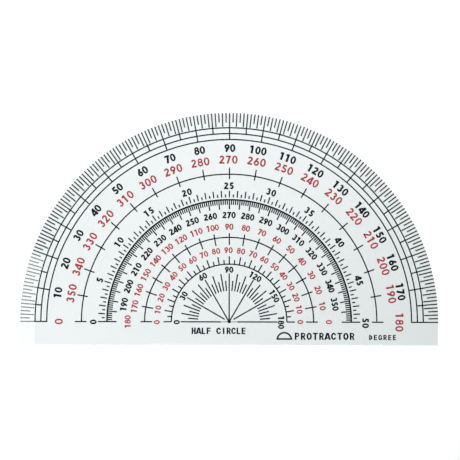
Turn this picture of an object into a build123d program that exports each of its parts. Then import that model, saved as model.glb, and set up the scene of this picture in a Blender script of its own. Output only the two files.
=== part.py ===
from build123d import *

import os
from math import acos, atan2, cos, degrees, hypot, radians, sin
from typing import NamedTuple

# A half-circle protractor: one clear moulded plate, and the printed scales on its top face.
# Frame: the origin is the vertex, on the plane that the plate rests on. +X runs along the base line,
# +Y towards the 90 degree mark and +Z up. A "mark" is an angle on the degree scale, in degrees:
# 0 is at -X, 90 at +Y and 180 at +X. All lengths are in millimetres.

# Plate
OUTER_RADIUS = 50.0
STRIP_DEPTH = 5.6  # plate below the base line
THICKNESS = 1.5
EDGE_THICKNESS = 0.7
RIM_RADIUS = 46.5  # where the flat top ends and the bevel begins
DIMPLE_RADIUS = 2.0
DIMPLE_DEPTH = 0.12

# Print
INK = 0.02
LINE = 0.315
HEAVY_LINE = 0.4
HAIRLINE = 0.15
BLACK_PEN = 0.275  # stroke weight of the lettering, as a share of its cap height
SMALL_BLACK_PEN = 0.285
RED_PEN = 0.235
SMALL_RED_PEN = 0.25
LABEL_PEN = 0.25
ROUND_SHARE = 0.88  # round strokes, and the level ones of figures, are lighter than upright ones
LEVEL_SHARE = 0.76  # level strokes of capitals

# Rim scale
SHORT_TICK_END = 47.65
LONG_TICK_END = 46.65
RIM_ARCS = (46.4, 45.0, 43.6)

# Ten degree arc
TEN_ARC = 35.3
TEN_TICK = (34.3, 36.9)
TEN_QUARTER_START = 34.1

# Percent scale: the half turn is 50 percent of a full one, in half percent divisions
PERCENT_DIVISIONS = 100
PERCENT_AT_END = 50
PERCENT_STEP = 5
PERCENT_START = 29.75
PERCENT_SHORT_END = 30.5
PERCENT_LONG_END = 31.35

# One degree arc
ONE_ARC = 29.2
ONE_TICK_START = 28.0
ONE_FIVE_START = 26.9

# Second ten degree arc
SECOND_ARC = 20.2
SECOND_TICK = (18.4, 21.2)

# Five degree arc
FIVE_ARC = 13.8
FIVE_TICK_END = 14.85
FIVE_TEN_END = 15.7

# Fan and rays at the vertex
FAN_START = 7.4
FAN_END = 11.6
FAN_SHORT_END = 9.85
LOW_RAY_START = 1.2
BASE_LINE_START = DIMPLE_RADIUS
VERTEX_DOT_RADIUS = 0.43
VERTEX_DOT_RISE = 0.12  # its centre stands this far above the base line

# Degree steps of the scales
HALF_TURN = 180
QUARTER_TURN = 90
RAY_STEP = 30
LONG_STEP = 10
MIDDLE_STEP = 5
FIRST_THREE_FIGURE_MARK = 100


class Ring(NamedTuple):
    """How the numbers of one ring are set. The radii are those of its circle at the two ends of the
    base line. The shifts are how far the print stands clockwise of its marks, at 0, 90 and 180."""

    cap_height: float
    pitch: float  # letter spacing, as a share of the cap height
    pen: float
    first_radius: float
    last_radius: float
    shifts: tuple


TWO_FIGURE_BLACK = Ring(1.9, 0.71, BLACK_PEN, 41.5, 41.6, (-0.4, 0.07, 0.1))
THREE_FIGURE_BLACK = Ring(1.9, 0.745, BLACK_PEN, 41.5, 41.6, (-1.67, -0.5, -0.05))
OUTER_RED = Ring(1.97, 0.785, RED_PEN, 38.2, 39.35, (0.17, -0.28, 0.15))
PERCENT_RING = Ring(1.65, 0.78, SMALL_BLACK_PEN, 32.47, 32.6, (-0.08, -0.12, 0.2))
MIDDLE_BLACK = Ring(1.56, 0.69, SMALL_BLACK_PEN, 25.47, 25.6, (-0.35, -0.08, 0.17))
MIDDLE_RED = Ring(1.48, 0.69, SMALL_RED_PEN, 22.9, 22.6, (-0.42, -0.03, 0.1))
SLOPE_RED = Ring(1.43, 0.73, SMALL_RED_PEN, 17.28, 17.0, (-0.1, -0.2, 0))
INNER_BLACK = Ring(1.5, 0.69, SMALL_BLACK_PEN, 12.53, 12.42, (-0.08, -0.04, 0.12))
OUTER_RED_END_RADIUS = 40.7  # the 0 and the 180 stand between the two outer rows
MIDDLE_RED_FIRST_RADIUS = 24.25
MIDDLE_RED_LAST_RADIUS = 23.85

# Labels on the strip: cap height, letter pitch, and the centre of the word
SHAPE_LABEL = (1.55, 0.77, (-2.5, -2.15))
NAME_LABEL = (1.7, 0.86, (22.8, -3.4))
UNIT_LABEL = (1.25, 0.91, (36.7, -3.65))
EMBLEM_RADIUS = 1.7
EMBLEM_FOOT = (13.2, -4.25)

# Lettering, in units of its cap height, standing on y = 0 and centred on x = 0
ROUND_HALF_WIDTH = 0.345
CAPITAL_HALF_WIDTH = 0.38
CAPITAL_LEFT = -0.32
LINE_OF_TEXT = 1.01  # just clear of the round strokes, which reach from 0 to 1


# --- shapes shared by the scales -------------------------------------------------------------


def at_mark(mark):
    """The turn that takes a shape drawn on the 90 degree line to its mark."""
    return Rot(0, 0, QUARTER_TURN - mark)


def tick(mark, start, end, width=LINE):
    """A radial stroke between two radii."""
    return at_mark(mark) * Pos(0, (start + end) / 2) * Rectangle(width, end - start)


def half_ring(radius, width):
    """An arc stroke from mark 0 to mark 180."""
    outer = radius + width / 2
    upper_half = Pos(0, outer) * Rectangle(2 * outer, 2 * outer)
    return (Circle(outer) - Circle(radius - width / 2)) & upper_half


def printed(flat_shapes):
    """A film of ink on the flat top face for each face of the drawn shapes."""
    faces = [face for shape in flat_shapes for face in shape.faces()]
    return Compound([extrude(Pos(0, 0, THICKNESS) * face, amount=INK).solid() for face in faces])


def marks_every(step):
    """The marks of a scale from one end of the base line to the other."""
    return range(0, HALF_TURN + 1, step)


def marks_between(step):
    """The marks of a scale that lie off the base line."""
    return range(step, HALF_TURN, step)


def fused(first, others):
    """One drawn shape made of strokes that touch or cross."""
    return Sketch() + [first, *others]


# --- lettering -------------------------------------------------------------------------------


def bar(start, end, weight):
    """A straight pen stroke with square ends."""
    run_x = end[0] - start[0]
    run_y = end[1] - start[1]
    middle = Pos((start[0] + end[0]) / 2, (start[1] + end[1]) / 2)
    return middle * Rot(0, 0, degrees(atan2(run_y, run_x))) * Rectangle(hypot(run_x, run_y), weight)


def bend(centre, half_width, first, last, weight):
    """A round pen stroke, anticlockwise from one angle to another, inside a circle of this half width."""
    outer_edge = CenterArc(centre, half_width, first, last - first)
    inner_edge = CenterArc(centre, half_width - weight, first, last - first)
    first_end = Line(inner_edge @ 0, outer_edge @ 0)
    last_end = Line(inner_edge @ 1, outer_edge @ 1)
    return make_face(outer_edge + inner_edge + first_end + last_end)


def on_circle(centre, radius, angle):
    """A point on a circle."""
    return (centre[0] + radius * cos(radians(angle)), centre[1] + radius * sin(radians(angle)))


def bowl(centre, half_width, weight):
    """A closed round pen stroke."""
    return Pos(*centre) * (Circle(half_width) - Circle(half_width - weight))


def oval(half_width, pen):
    """A closed upright oval of full height."""
    return Pos(0, 0.5) * (Ellipse(half_width, 0.5) - Ellipse(half_width - pen, 0.5 - ROUND_SHARE * pen))


def stem(place, pen):
    """An upright stroke of full height."""
    return bar((place, 0), (place, 1), pen)


def glyph_0(pen):
    return oval(ROUND_HALF_WIDTH, ROUND_SHARE * pen)


def glyph_1(pen):
    return stem(0.01, pen) + bar((0.01, 0.92), (-0.28, 0.8), ROUND_SHARE * pen)


def glyph_2(pen):
    weight = ROUND_SHARE * pen
    half_width = 0.3
    centre = (-0.01, 1 - half_width)
    turn_end = -38
    neck = on_circle(centre, half_width - weight / 2, turn_end)
    fall = (neck[1] - weight / 2) / cos(radians(turn_end))
    toe = (neck[0] + fall * sin(radians(turn_end)), weight / 2)
    base = bar((-0.32, weight / 2), (0.31, weight / 2), weight)
    return bend(centre, half_width, turn_end, 172, weight) + bar(neck, toe, weight) + base


def glyph_3(pen):
    weight = ROUND_SHARE * pen
    upper = 0.285
    lower = 0.315
    lower_bend = bend((-0.02, lower), lower, -160, 95, weight)
    return bend((-0.02, 1 - upper), upper, -95, 160, weight) + lower_bend


def glyph_4(pen):
    weight = ROUND_SHARE * pen
    slope = bar((0.13, 0.94), (-0.28, 0.3), weight)
    return stem(0.16, pen) + slope + bar((-0.37, 0.25), (0.36, 0.25), weight)


def glyph_5(pen):
    weight = ROUND_SHARE * pen
    half_width = 0.325
    centre = (-0.02, half_width)
    head = 1 - weight / 2
    shoulder = on_circle(centre, half_width - weight / 2, 128)
    back = bar((-0.12, head), shoulder, weight)
    return bend(centre, half_width, -155, 128, weight) + back + bar((-0.2, head), (0.26, head), weight)


def glyph_6(pen):
    half_width = 0.33
    centre = (0, half_width)
    middle = half_width - pen / 2
    tip = (0.12, 0.97)
    reach = hypot(tip[0] - centre[0], tip[1] - centre[1])
    lean = degrees(atan2(tip[1] - centre[1], tip[0] - centre[0]))
    touch = lean + degrees(acos(middle / reach))
    return bowl(centre, half_width, ROUND_SHARE * pen) + bar(on_circle(centre, middle, touch), tip, pen)


def glyph_7(pen):
    weight = ROUND_SHARE * pen
    head = 1 - weight / 2
    return bar((-0.3, head), (0.32, head), weight) + bar((0.19, 0.95), (-0.11, 0), pen)


def glyph_8(pen):
    upper = 0.29
    lower = 0.325
    weight = ROUND_SHARE**2 * pen
    return bowl((0, 1 - upper), upper, weight) + bowl((0, lower), lower, weight)


def glyph_9(pen):
    return Pos(0, 0.5) * Rot(0, 0, HALF_TURN) * Pos(0, -0.5) * glyph_6(pen)


def glyph_A(pen):
    legs = bar((-0.34, 0), (-0.03, 1), pen) + bar((0.34, 0), (0.03, 1), pen)
    return legs + bar((-0.2, 0.27), (0.2, 0.27), LEVEL_SHARE * pen)


def glyph_C(pen):
    return oval(CAPITAL_HALF_WIDTH, pen) - Pos(CAPITAL_HALF_WIDTH, 0.5) * Rectangle(0.7, 0.3)


def glyph_D(pen):
    bow = oval(-2 * CAPITAL_LEFT, pen) & Pos(0.5, 0.5) * Rectangle(1, 1)
    return Pos(CAPITAL_LEFT, 0) * (bow + stem(pen / 2, pen))


def arms(pen, heights, reach):
    """A stem at the left with level arms at these heights."""
    strokes = [bar((CAPITAL_LEFT, height), (reach, height), LEVEL_SHARE * pen) for height in heights]
    return Sketch() + [stem(CAPITAL_LEFT + pen / 2, pen), *strokes]


def foot(pen):
    """The height of a level stroke that stands on the line."""
    return LEVEL_SHARE * pen / 2


def glyph_E(pen):
    return arms(pen, (foot(pen), 0.5, 1 - foot(pen)), 0.29)


def glyph_F(pen):
    return arms(pen, (0.5, 1 - foot(pen)), 0.29)


def glyph_G(pen):
    chin = bar((0.05, 0.43), (CAPITAL_HALF_WIDTH, 0.43), LEVEL_SHARE * pen)
    return glyph_C(pen) + chin + bar((0.28, 0.15), (0.28, 0.45), LEVEL_SHARE * pen)


def glyph_H(pen):
    return arms(pen, (0.5,), -CAPITAL_LEFT) + stem(-CAPITAL_LEFT - pen / 2, pen)


def glyph_I(pen):
    return stem(0, pen)


def glyph_L(pen):
    return arms(pen, (foot(pen),), 0.28)


def glyph_O(pen):
    return oval(CAPITAL_HALF_WIDTH, pen)


def glyph_P(pen):
    half_height = 0.3
    heights = (1 - foot(pen), 1 - 2 * half_height + foot(pen))
    return arms(pen, heights, 0.04) + bend((0.02, 1 - half_height), half_height, -90, 90, LEVEL_SHARE * pen)


def glyph_R(pen):
    return glyph_P(pen) + bar((0.02, 0.52), (0.27, -0.05), ROUND_SHARE * pen)


def glyph_T(pen):
    head = 1 - foot(pen)
    return stem(0, pen) + bar((-0.35, head), (0.35, head), LEVEL_SHARE * pen)


GLYPHS = {
    "0": glyph_0,
    "1": glyph_1,
    "2": glyph_2,
    "3": glyph_3,
    "4": glyph_4,
    "5": glyph_5,
    "6": glyph_6,
    "7": glyph_7,
    "8": glyph_8,
    "9": glyph_9,
    "A": glyph_A,
    "C": glyph_C,
    "D": glyph_D,
    "E": glyph_E,
    "F": glyph_F,
    "G": glyph_G,
    "H": glyph_H,
    "I": glyph_I,
    "L": glyph_L,
    "O": glyph_O,
    "P": glyph_P,
    "R": glyph_R,
    "T": glyph_T,
}


def drawn(letter, cap_height, pen):
    """A letter at its printed size, standing on y = 0, with slanting strokes cut off level."""
    line_of_text = Pos(0, 0.5) * Rectangle(2, LINE_OF_TEXT)
    return scale(Sketch() + (GLYPHS[letter](pen) & line_of_text), by=cap_height)


def word(text, cap_height, pitch, pen):
    """The faces of a word, centred on x = 0 and on half its cap height."""
    first = -(len(text) - 1) / 2
    return [
        Pos((first + place) * pitch * cap_height, -cap_height / 2) * drawn(letter, cap_height, pen)
        for place, letter in enumerate(text)
        if letter != " "
    ]


def shift_at(mark, shifts):
    """The clockwise shift at a mark, on the curve through those at 0, 90 and 180."""
    first, middle, last = shifts
    side = 2 * mark / HALF_TURN - 1
    return middle + side * (last - first) / 2 + side**2 * ((first + last) / 2 - middle)


def numeral(text, mark, ring, radius=None):
    """A number that stands on a ring with its head outwards."""
    shift = 0
    if radius is None:
        radius = ring.first_radius + (ring.last_radius - ring.first_radius) * mark / HALF_TURN
        shift = shift_at(mark, ring.shifts)
    letters = word(text, ring.cap_height, ring.pitch, ring.pen)
    return [at_mark(mark) * Pos(shift, radius) * letter for letter in letters]


def numerals(readings, ring):
    """The faces of all the numbers of a ring, from {mark: reading}."""
    return [letter for mark, reading in readings.items() for letter in numeral(str(reading), mark, ring)]


# --- the plate -------------------------------------------------------------------------------


def rim_profile():
    """Half of the cross-section of the plate, from the middle to the edge."""
    return Polygon(
        (0, 0),
        (OUTER_RADIUS, 0),
        (OUTER_RADIUS, EDGE_THICKNESS),
        (RIM_RADIUS, THICKNESS),
        (0, THICKNESS),
        align=None,
    )


def plate():
    """The clear moulding: a turned half disc, the strip with the same bevels, and the dimple."""
    section = Plane.XZ * rim_profile()
    half_disc = revolve(section, Axis.Z, revolution_arc=HALF_TURN)
    half_strip = extrude(section, amount=STRIP_DEPTH)
    strip = half_strip + mirror(half_strip, about=Plane.YZ)
    dimple_ball_radius = (DIMPLE_RADIUS**2 + DIMPLE_DEPTH**2) / (2 * DIMPLE_DEPTH)
    dimple = Pos(0, 0, DIMPLE_DEPTH - dimple_ball_radius) * Sphere(dimple_ball_radius)
    return half_disc + strip - dimple


# --- the printed scales ----------------------------------------------------------------------


def rim_degree_ticks(moulding):
    """A stroke on the bevel for each degree: every fifth reaches the frame, the others stop short."""
    film = Pos(0, 0, INK) * moulding - moulding
    ends = (RIM_RADIUS, SHORT_TICK_END, LONG_TICK_END)

    def stroke(mark, end):
        column = extrude(tick(mark, end, OUTER_RADIUS), amount=THICKNESS + INK)
        return (film & column).solid()

    patterns = {end: stroke(QUARTER_TURN, end) for end in ends}
    strokes = [stroke(mark, RIM_RADIUS) for mark in (0, HALF_TURN)]
    for mark in marks_between(1):
        end = LONG_TICK_END if mark % 2 == 0 else SHORT_TICK_END
        if mark % MIDDLE_STEP == 0:
            end = RIM_RADIUS
        strokes.append(at_mark(mark) * patterns[end])
    return Compound(strokes)


def rim_scale_frame():
    """Three arcs and their rungs."""
    rungs = []
    for mark in marks_every(MIDDLE_STEP):
        start = RIM_ARCS[2] if mark % LONG_STEP == 0 else RIM_ARCS[1]
        rungs.append(tick(mark, start - LINE / 2, RIM_ARCS[0] + LINE / 2))
    arcs = [half_ring(radius, LINE) for radius in RIM_ARCS]
    return printed([fused(arcs[0], arcs[1:] + rungs)])


def ten_degree_arc():
    """The outer arc with a cross stroke each ten degrees."""
    ticks = []
    for mark in marks_every(LONG_STEP):
        start = TEN_QUARTER_START if mark % QUARTER_TURN == 0 else TEN_TICK[0]
        ticks.append(tick(mark, start, TEN_TICK[1]))
    return printed([fused(half_ring(TEN_ARC, LINE), ticks)])


def percent_ticks():
    """A stroke for each hundredth of the half turn, longer each second one."""
    strokes = []
    for division in range(1, PERCENT_DIVISIONS):
        end = PERCENT_SHORT_END if division % 2 else PERCENT_LONG_END
        strokes.append(tick(HALF_TURN * division / PERCENT_DIVISIONS, PERCENT_START, end))
    return printed(strokes)


def one_degree_arc():
    """The heavy arc with an inward stroke each degree."""
    ticks = [tick(mark, ONE_FIVE_START, PERCENT_LONG_END) for mark in (0, HALF_TURN)]
    for mark in marks_between(1):
        start = ONE_FIVE_START if mark % MIDDLE_STEP == 0 else ONE_TICK_START
        ticks.append(tick(mark, start, ONE_ARC))
    return printed([fused(half_ring(ONE_ARC, HEAVY_LINE), ticks)])


def second_ten_degree_arc():
    """The second arc with a cross stroke each ten degrees."""
    ticks = [tick(mark, *SECOND_TICK) for mark in marks_every(LONG_STEP)]
    return printed([fused(half_ring(SECOND_ARC, LINE), ticks)])


def five_degree_arc():
    """The small arc with an outward stroke each five degrees."""
    ticks = []
    for mark in marks_every(MIDDLE_STEP):
        ticks.append(tick(mark, FIVE_ARC, FIVE_TICK_END if mark % LONG_STEP else FIVE_TEN_END))
    return printed([fused(half_ring(FIVE_ARC, LINE), ticks)])


def fan_ticks():
    """The strokes round the vertex, between the rays."""
    marks = [mark for mark in marks_between(MIDDLE_STEP) if mark % RAY_STEP]
    return printed([tick(mark, FAN_START, FAN_SHORT_END if mark % LONG_STEP else FAN_END) for mark in marks])


def centre_rays():
    """The rays, the base line and its hairlines, which meet at a dot on the vertex."""
    lowest_rays = (RAY_STEP, HALF_TURN - RAY_STEP)
    strokes = []
    for mark in marks_between(RAY_STEP):
        strokes.append(tick(mark, LOW_RAY_START if mark in lowest_rays else 0, FAN_END))
    for mark in (0, HALF_TURN):
        strokes.append(tick(mark, BASE_LINE_START, FAN_END))
        strokes.append(tick(mark, 0, BASE_LINE_START, HAIRLINE))
    return printed([fused(Pos(0, VERTEX_DOT_RISE) * Circle(VERTEX_DOT_RADIUS), strokes)])


def outer_black_numerals():
    marks = marks_between(LONG_STEP)
    two_figures = {mark: mark for mark in marks if mark < FIRST_THREE_FIGURE_MARK}
    three_figures = {mark: mark for mark in marks if mark >= FIRST_THREE_FIGURE_MARK}
    return printed(numerals(two_figures, TWO_FIGURE_BLACK) + numerals(three_figures, THREE_FIGURE_BLACK))


def outer_red_numerals():
    row = numerals({mark: 2 * HALF_TURN - mark for mark in marks_between(LONG_STEP)}, OUTER_RED)
    first = numeral("0", 0, OUTER_RED, OUTER_RED_END_RADIUS)
    last = numeral("180", HALF_TURN, OUTER_RED, OUTER_RED_END_RADIUS)
    return printed(row + first + last)


def percent_numerals():
    readings = range(0, PERCENT_AT_END + 1, PERCENT_STEP)
    row = {HALF_TURN * reading / PERCENT_AT_END: reading for reading in readings}
    return printed(numerals(row, PERCENT_RING))


def middle_black_numerals():
    return printed(numerals({mark: HALF_TURN + mark for mark in marks_between(LONG_STEP)}, MIDDLE_BLACK))


def middle_red_numerals():
    row = numerals({mark: HALF_TURN - mark for mark in marks_between(LONG_STEP)}, MIDDLE_RED)
    first = numeral("180", 0, MIDDLE_RED, MIDDLE_RED_FIRST_RADIUS)
    last = numeral("0", HALF_TURN, MIDDLE_RED, MIDDLE_RED_LAST_RADIUS)
    return printed(row + first + last)


def slope_red_numerals():
    row = {mark: min(mark, HALF_TURN - mark) for mark in marks_every(LONG_STEP)}
    return printed(numerals(row, SLOPE_RED))


def inner_black_numerals():
    return printed(numerals({mark: mark for mark in marks_every(RAY_STEP)}, INNER_BLACK))


def label(text, cap_height, pitch, centre):
    """A word on the strip below the base line."""
    return printed([Pos(*centre) * letter for letter in word(text, cap_height, pitch, LABEL_PEN)])


def emblem():
    """A plain half-ring with a base bar, in front of the name."""
    base = Pos(0, HEAVY_LINE / 2) * Rectangle(2 * EMBLEM_RADIUS, HEAVY_LINE)
    return printed([Pos(*EMBLEM_FOOT) * fused(half_ring(EMBLEM_RADIUS, HEAVY_LINE), [base])])


# --- write the sub-parts ---------------------------------------------------------------------

clear_plate = plate()
SUBPARTS = {
    "clear_plate": clear_plate,
    "rim_degree_ticks": rim_degree_ticks(clear_plate),
    "rim_scale_frame": rim_scale_frame(),
    "outer_black_numerals": outer_black_numerals(),
    "outer_red_numerals": outer_red_numerals(),
    "ten_degree_arc": ten_degree_arc(),
    "percent_ticks": percent_ticks(),
    "percent_numerals": percent_numerals(),
    "one_degree_arc": one_degree_arc(),
    "middle_black_numerals": middle_black_numerals(),
    "middle_red_numerals": middle_red_numerals(),
    "second_ten_degree_arc": second_ten_degree_arc(),
    "slope_red_numerals": slope_red_numerals(),
    "five_degree_arc": five_degree_arc(),
    "inner_black_numerals": inner_black_numerals(),
    "fan_ticks": fan_ticks(),
    "centre_rays": centre_rays(),
    "shape_label": label("HALF CIRCLE", *SHAPE_LABEL),
    "emblem": emblem(),
    "name_label": label("PROTRACTOR", *NAME_LABEL),
    "unit_label": label("DEGREE", *UNIT_LABEL),
}

os.makedirs("parts", exist_ok=True)
for name, subpart in SUBPARTS.items():
    export_step(subpart, f"parts/{name}.step")
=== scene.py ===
import math

import bmesh
import bpy
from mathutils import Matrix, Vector


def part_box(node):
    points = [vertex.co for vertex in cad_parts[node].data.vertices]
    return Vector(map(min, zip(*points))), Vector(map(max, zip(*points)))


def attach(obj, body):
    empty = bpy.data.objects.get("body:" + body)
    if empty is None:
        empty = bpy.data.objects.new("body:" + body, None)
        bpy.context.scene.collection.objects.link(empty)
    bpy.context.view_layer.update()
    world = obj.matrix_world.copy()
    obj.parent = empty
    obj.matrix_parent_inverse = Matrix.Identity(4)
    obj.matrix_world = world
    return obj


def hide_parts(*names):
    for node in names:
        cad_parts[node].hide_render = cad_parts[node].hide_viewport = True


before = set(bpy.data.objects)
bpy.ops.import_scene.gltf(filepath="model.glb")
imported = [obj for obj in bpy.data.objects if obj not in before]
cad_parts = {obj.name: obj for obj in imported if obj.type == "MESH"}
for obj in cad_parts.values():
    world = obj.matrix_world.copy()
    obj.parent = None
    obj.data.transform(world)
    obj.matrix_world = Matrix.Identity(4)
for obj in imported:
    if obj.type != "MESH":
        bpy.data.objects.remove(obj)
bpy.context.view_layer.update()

MM = 0.001

# The plate, read from the frame
PLATE = "clear_plate"
plate_low, plate_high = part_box(PLATE)
OUTER_RADIUS = plate_high.x
STRIP_DEPTH = -plate_low.y
THICKNESS = plate_high.z

# The plate's own sizes, as in the CAD model
EDGE_THICKNESS = 0.7 * MM
RIM_RADIUS = 46.5 * MM
DIMPLE_RADIUS = 2.0 * MM
DIMPLE_DEPTH = 0.12 * MM

# How the plate's mesh is built
RIM_STEPS = 360
INK_SINK = 0.002 * MM
EDGE_ROUNDING = 0.3 * MM
SHARP_ANGLE = math.radians(6)
ROUNDING_STEPS = 3
ROUNDED_ANGLE = math.radians(30)
DIMPLE_STEPS = 96
DIMPLE_RINGS = 16
CUTTER_MARGIN = 1.05  # the cutter's radius, as a share of the dimple's
CUTTER_FOOT = -4 * DIMPLE_DEPTH

# Clear plastic
PLASTIC_COLOUR = (0.693, 0.7315, 0.7335, 1)
PLASTIC_IOR = 1.49
RIPPLE_SIZE = 9 * MM
RIPPLE_HEIGHT = 0.004 * MM
GRAIN_SIZE = 0.35 * MM
PLASTIC_ROUGHNESS = (0.02, 0.035)
GRAIN_RANGE = (0.35, 0.75)
TRAPPED_DEPTH = 3.5  # a ray with more bounces than this passes the plate unbent, which keeps edges pale

# Picture
PICTURE_WIDTH = 109.94 * MM
PICTURE_CENTRE = (0.155 * MM, 21.965 * MM)
CAMERA_HEIGHT = 1.6
CAMERA_ROLL = math.radians(0.14)
SENSOR = 36.0
NEAREST = 0.1
FARTHEST = 10.0

# Stage and light
FLOOR_DROP = 0.05 * MM
FLOOR_HALF_SIZE = 3.0
ROOM_STRENGTH = 0.298
SOFTBOX_SIZE = (0.1, 0.16)
SOFTBOX_TARGET = (0.0, 0.02, 0.0)
KEY_PLACE = (0.031, 0.177, 0.1)
KEY_POWER = 0.377
FILL_PLACE = (-0.199, -0.167, 0.18)
FILL_POWER = 1.022
GLARE_HEIGHT = 0.315
GLARE_STEP = 0.005
GLARE_WIDTH = 0.13
GLARE_LENGTHS = (0.09, 0.17, 0.27)
GLARE_RADIANCE = 0.8

# Inks: the fresh and the worn colour, and the weight and IOR of the varnish. The bevel's ink has the
# glossier varnish, so that the glare pales the strokes there.
RED_NODES = ("outer_red_numerals", "middle_red_numerals", "slope_red_numerals")
BEVEL_NODE = "rim_degree_ticks"
BLACK_INK = ((0.002, 0.005, 0.009), (0.006, 0.009, 0.014))
RED_INK = ((0.31, 0.03, 0.042), (0.36, 0.045, 0.058))
INK_VARNISH = (0.35, 1.49)
BEVEL_INK_VARNISH = (1.0, 2.0)
INK_SPECULAR = 0.1
VARNISH_ROUGHNESS = 0.05
PIGMENT_ROUGHNESS = (0.45, 0.6)
MOTTLE_SIZE = 0.5 * MM
FRESH_UP_TO = 0.45
WORN_FROM = 0.8
PRINT_TEXTURE_SIZE = 0.12 * MM
PRINT_TEXTURE_HEIGHT = 0.002 * MM

# Studio card
CARD_ROUGHNESS = 0.9
CARD_SPECULAR = 0.2
CARD_PATCH_SIZE = 0.4
CARD_TONES = (0.9, 0.93)


# --- node helpers ----------------------------------------------------------------------------


class Shader:
    """A material's node tree, with short calls to add and join nodes."""

    def __init__(self, name):
        self.material = bpy.data.materials.new(name)
        self.material.use_nodes = True
        self.tree = self.material.node_tree
        self.tree.nodes.clear()
        self.output = self.add("ShaderNodeOutputMaterial")
        self.place = self.add("ShaderNodeTexCoord").outputs["Object"]

    def add(self, kind, **settings):
        node = self.tree.nodes.new(kind)
        for key, value in settings.items():
            if key in node.inputs:
                node.inputs[key].default_value = value
            else:
                setattr(node, key, value)
        return node

    def join(self, source, target):
        self.tree.links.new(source, target)

    def noise(self, size, detail=3.0, roughness=0.5):
        """Noise whose patches are about this size, in metres."""
        node = self.add("ShaderNodeTexNoise", Scale=1 / size, Detail=detail, Roughness=roughness)
        self.join(self.place, node.inputs["Vector"])
        return node.outputs["Fac"]

    def spread(self, source, low, high, start=0.0, end=1.0):
        """Maps a value from one range to another."""
        node = self.add("ShaderNodeMapRange")
        node.inputs["From Min"].default_value = start
        node.inputs["From Max"].default_value = end
        node.inputs["To Min"].default_value = low
        node.inputs["To Max"].default_value = high
        self.join(source, node.inputs["Value"])
        return node.outputs["Result"]

    def blend(self, source, *stops):
        """Colours that follow a value, from (value, colour) stops."""
        ramp = self.add("ShaderNodeValToRGB")
        for stop, (value, colour) in zip(ramp.color_ramp.elements, stops):
            stop.position = value
            stop.color = (*colour, 1)
        self.join(source, ramp.inputs["Fac"])
        return ramp.outputs["Color"]

    def bump(self, height, distance, strength):
        """A normal that follows a value as if it were relief."""
        node = self.add("ShaderNodeBump", Strength=strength, Distance=distance)
        self.join(height, node.inputs["Height"])
        return node.outputs["Normal"]


# --- materials -------------------------------------------------------------------------------


def clear_plastic():
    """Polished clear plastic: a faint grey-green body, moulding ripple and a slightly uneven polish.
    Diffuse and shadow rays pass it, so that the card below is lit evenly."""
    shader = Shader("clear_plastic")
    glass = shader.add("ShaderNodeBsdfPrincipled")
    glass.inputs["Base Color"].default_value = PLASTIC_COLOUR
    glass.inputs["IOR"].default_value = PLASTIC_IOR
    glass.inputs["Transmission Weight"].default_value = 1.0
    ripple = shader.noise(RIPPLE_SIZE, 1.0)
    grain = shader.noise(GRAIN_SIZE, 4.0)
    normal = shader.bump(ripple, RIPPLE_HEIGHT, 1.0)
    shader.join(normal, glass.inputs["Normal"])
    shader.join(shader.spread(grain, *PLASTIC_ROUGHNESS, *GRAIN_RANGE), glass.inputs["Roughness"])
    clear = shader.add("ShaderNodeBsdfTransparent")
    path = shader.add("ShaderNodeLightPath")
    trapped = shader.add("ShaderNodeMath", operation="GREATER_THAN")
    trapped.inputs[1].default_value = TRAPPED_DEPTH
    shader.join(path.outputs["Ray Depth"], trapped.inputs[0])
    surface = glass.outputs[0]
    rays = (trapped.outputs[0], path.outputs["Is Diffuse Ray"], path.outputs["Is Shadow Ray"])
    for let_through in rays:
        mix = shader.add("ShaderNodeMixShader")
        shader.join(let_through, mix.inputs[0])
        shader.join(surface, mix.inputs[1])
        shader.join(clear.outputs[0], mix.inputs[2])
        surface = mix.outputs[0]
    shader.join(surface, shader.output.inputs["Surface"])
    return shader.material


def ink(name, colour, worn_colour, gloss, varnish_ior):
    """A printed film: a thin even varnish over slightly mottled pigment."""
    shader = Shader(name)
    film = shader.add("ShaderNodeBsdfPrincipled")
    film.inputs["Specular IOR Level"].default_value = INK_SPECULAR
    film.inputs["Coat Weight"].default_value = gloss
    film.inputs["Coat Roughness"].default_value = VARNISH_ROUGHNESS
    film.inputs["Coat IOR"].default_value = varnish_ior
    mottle = shader.noise(MOTTLE_SIZE, 4.0, 0.6)
    pigment = shader.blend(mottle, (FRESH_UP_TO, colour), (WORN_FROM, worn_colour))
    texture = shader.noise(PRINT_TEXTURE_SIZE, 2.0)
    shader.join(pigment, film.inputs["Base Color"])
    shader.join(shader.spread(mottle, *PIGMENT_ROUGHNESS), film.inputs["Roughness"])
    shader.join(shader.bump(texture, PRINT_TEXTURE_HEIGHT, 0.5), film.inputs["Normal"])
    shader.join(film.outputs[0], shader.output.inputs["Surface"])
    return shader.material


def floor_card():
    """White studio card."""
    shader = Shader("floor_card")
    card = shader.add("ShaderNodeBsdfPrincipled", Roughness=CARD_ROUGHNESS)
    card.inputs["Specular IOR Level"].default_value = CARD_SPECULAR
    tone = shader.spread(shader.noise(CARD_PATCH_SIZE), *CARD_TONES)
    combine = shader.add("ShaderNodeCombineColor")
    for channel in combine.inputs:
        shader.join(tone, channel)
    shader.join(combine.outputs[0], card.inputs["Base Color"])
    shader.join(card.outputs[0], shader.output.inputs["Surface"])
    return shader.material


# --- the plate -------------------------------------------------------------------------------


def outline(radius):
    """The plate's outline at this radius, from the strip's left corner round the rim to its right one."""
    points = [(-radius, -STRIP_DEPTH)]
    for step in range(RIM_STEPS + 1):
        turn = math.pi - math.pi * step / RIM_STEPS
        points.append((radius * math.cos(turn), radius * math.sin(turn)))
    points.append((radius, -STRIP_DEPTH))
    return points


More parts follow.
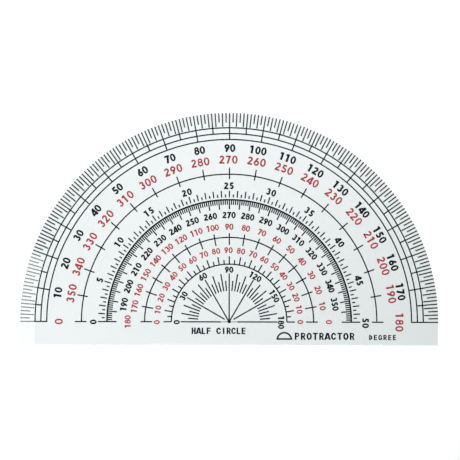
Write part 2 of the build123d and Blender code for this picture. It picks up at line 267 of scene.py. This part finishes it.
def plate_body():
    """The half disc and strip, with the bevel, as one closed mesh."""
    mesh = bmesh.new()
    edge_top = EDGE_THICKNESS + INK_SINK
    levels = ((OUTER_RADIUS, 0.0), (OUTER_RADIUS, edge_top), (RIM_RADIUS, THICKNESS + INK_SINK))
    rows = [[mesh.verts.new((x, y, height)) for x, y in outline(radius)] for radius, height in levels]
    for lower, upper in zip(rows, rows[1:]):
        for place in range(len(lower) - 1):
            mesh.faces.new((lower[place + 1], lower[place], upper[place], upper[place + 1]))
    mesh.faces.new(rows[0])
    mesh.faces.new(reversed(rows[2]))
    ends = [row[0] for row in rows] + [row[-1] for row in reversed(rows)]
    mesh.faces.new(ends)
    bmesh.ops.recalc_face_normals(mesh, faces=mesh.faces)
    return new_piece("plate_moulding", mesh)


def dimple_cutter():
    """A shallow lens that presses the dimple into the underside."""
    ball = (DIMPLE_RADIUS**2 + DIMPLE_DEPTH**2) / (2 * DIMPLE_DEPTH)
    mesh = bmesh.new()
    rings = []
    for ring in range(DIMPLE_RINGS):
        radius = CUTTER_MARGIN * DIMPLE_RADIUS * (1 - ring / DIMPLE_RINGS)
        height = DIMPLE_DEPTH - ball + math.sqrt(ball**2 - radius**2)
        rings.append(circle_of(mesh, radius, height))
    peak = mesh.verts.new((0, 0, DIMPLE_DEPTH))
    for outer, inner in zip(rings, rings[1:]):
        for place in range(DIMPLE_STEPS):
            after = (place + 1) % DIMPLE_STEPS
            mesh.faces.new((outer[place], outer[after], inner[after], inner[place]))
    for place in range(DIMPLE_STEPS):
        mesh.faces.new((rings[-1][place], rings[-1][(place + 1) % DIMPLE_STEPS], peak))
    foot = circle_of(mesh, CUTTER_MARGIN * DIMPLE_RADIUS, CUTTER_FOOT)
    for place in range(DIMPLE_STEPS):
        after = (place + 1) % DIMPLE_STEPS
        mesh.faces.new((foot[place], foot[after], rings[0][after], rings[0][place]))
    mesh.faces.new(reversed(foot))
    bmesh.ops.recalc_face_normals(mesh, faces=mesh.faces)
    return new_piece("dimple_cutter", mesh)


def circle_of(mesh, radius, height):
    """Points of a level circle round the vertex, added to a bmesh."""
    turns = [2 * math.pi * step / DIMPLE_STEPS for step in range(DIMPLE_STEPS)]
    return [mesh.verts.new((radius * math.cos(turn), radius * math.sin(turn), height)) for turn in turns]


def new_piece(name, mesh):
    """An object from a bmesh, in the scene."""
    data = bpy.data.meshes.new(name)
    mesh.to_mesh(data)
    mesh.free()
    piece = bpy.data.objects.new(name, data)
    bpy.context.scene.collection.objects.link(piece)
    return piece


def apply_modifiers(piece):
    """Bakes the piece's modifiers into its mesh."""
    view = bpy.context.evaluated_depsgraph_get()
    data = bpy.data.meshes.new_from_object(piece.evaluated_get(view))
    piece.modifiers.clear()
    piece.data = data


def make_plate():
    """The finished moulding: dimpled underside, rounded edges, smooth rim."""
    plate = plate_body()
    cutter = dimple_cutter()
    cut = plate.modifiers.new("dimple", "BOOLEAN")
    cut.operation = "DIFFERENCE"
    cut.solver = "EXACT"
    cut.object = cutter
    apply_modifiers(plate)
    bpy.data.objects.remove(cutter)
    rounding = plate.modifiers.new("rounded_edges", "BEVEL")
    rounding.width = EDGE_ROUNDING
    rounding.segments = ROUNDING_STEPS
    rounding.limit_method = "ANGLE"
    rounding.angle_limit = ROUNDED_ANGLE
    apply_modifiers(plate)
    plate.data.shade_smooth()
    plate.data.set_sharp_from_angle(angle=SHARP_ANGLE)
    plate.data.materials.clear()
    plate.data.materials.append(clear_plastic())
    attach(plate, "root")
    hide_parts(PLATE)


def print_scales():
    """Gives each printed scale its ink, which casts no shadow on the card."""
    inks = {
        "black": ink("black_ink", *BLACK_INK, *INK_VARNISH),
        "red": ink("red_ink", *RED_INK, *INK_VARNISH),
        "bevel": ink("bevel_ink", *BLACK_INK, *BEVEL_INK_VARNISH),
    }
    for name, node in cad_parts.items():
        if name != PLATE:
            kind = "black"
            if name in RED_NODES:
                kind = "red"
            elif name == BEVEL_NODE:
                kind = "bevel"
            node.data.materials.clear()
            node.data.materials.append(inks[kind])
            node.visible_shadow = False
            node.visible_diffuse = False


# --- stage, light and camera -----------------------------------------------------------------


def make_floor():
    """The card that the protractor lies on."""
    mesh = bmesh.new()
    bmesh.ops.create_grid(mesh, x_segments=1, y_segments=1, size=FLOOR_HALF_SIZE)
    floor = new_piece("floor", mesh)
    floor.location.z = -FLOOR_DROP
    floor.data.materials.append(floor_card())


def area_light(name, place, target, width, height, power):
    """A rectangular lamp that faces a target."""
    data = bpy.data.lights.new(name, "AREA")
    data.shape = "RECTANGLE"
    data.size = width
    data.size_y = height
    data.energy = power
    light = bpy.data.objects.new(name, data)
    light.location = place
    light.rotation_euler = (Vector(target) - Vector(place)).to_track_quat("-Z", "Y").to_euler()
    bpy.context.scene.collection.objects.link(light)


def make_world():
    """An even grey room."""
    world = bpy.data.worlds.new("studio")
    world.use_nodes = True
    background = world.node_tree.nodes["Background"]
    background.inputs["Color"].default_value = (1, 1, 1, 1)
    background.inputs["Strength"].default_value = ROOM_STRENGTH
    bpy.context.scene.world = world


def make_glare():
    """Strip lights of growing length, one above the other where the left bevel mirrors them, so that
    the glare there fades out along the rim."""
    bevel_slope = math.atan2(THICKNESS - EDGE_THICKNESS, OUTER_RADIUS - RIM_RADIUS)
    bevel_place = (-(OUTER_RADIUS + RIM_RADIUS) / 2, 0.0, THICKNESS)
    for step, length in enumerate(GLARE_LENGTHS):
        height = GLARE_HEIGHT + step * GLARE_STEP
        reach = (height - THICKNESS) * math.tan(2 * bevel_slope)
        power = GLARE_RADIANCE * math.pi * GLARE_WIDTH * length
        place = (bevel_place[0] - reach, 0.0, height)
        area_light("glare_strip", place, bevel_place, GLARE_WIDTH, length, power)


def make_light():
    """The room, the glare and two softboxes."""
    make_world()
    make_glare()
    area_light("key_softbox", KEY_PLACE, SOFTBOX_TARGET, *SOFTBOX_SIZE, KEY_POWER)
    area_light("fill_softbox", FILL_PLACE, SOFTBOX_TARGET, *SOFTBOX_SIZE, FILL_POWER)


def make_camera():
    """A long lens straight above the plate."""
    data = bpy.data.cameras.new("camera")
    data.sensor_width = SENSOR
    data.lens = SENSOR * CAMERA_HEIGHT / PICTURE_WIDTH
    data.clip_start = NEAREST
    data.clip_end = FARTHEST
    camera = bpy.data.objects.new("camera", data)
    camera.location = (*PICTURE_CENTRE, CAMERA_HEIGHT + THICKNESS)
    camera.rotation_euler = (0, 0, CAMERA_ROLL)
    bpy.context.scene.collection.objects.link(camera)
    bpy.context.scene.camera = camera


# --- build -----------------------------------------------------------------------------------

make_plate()
print_scales()
make_floor()
make_light()
make_camera()
bpy.context.scene.view_settings.view_transform = "Standard"
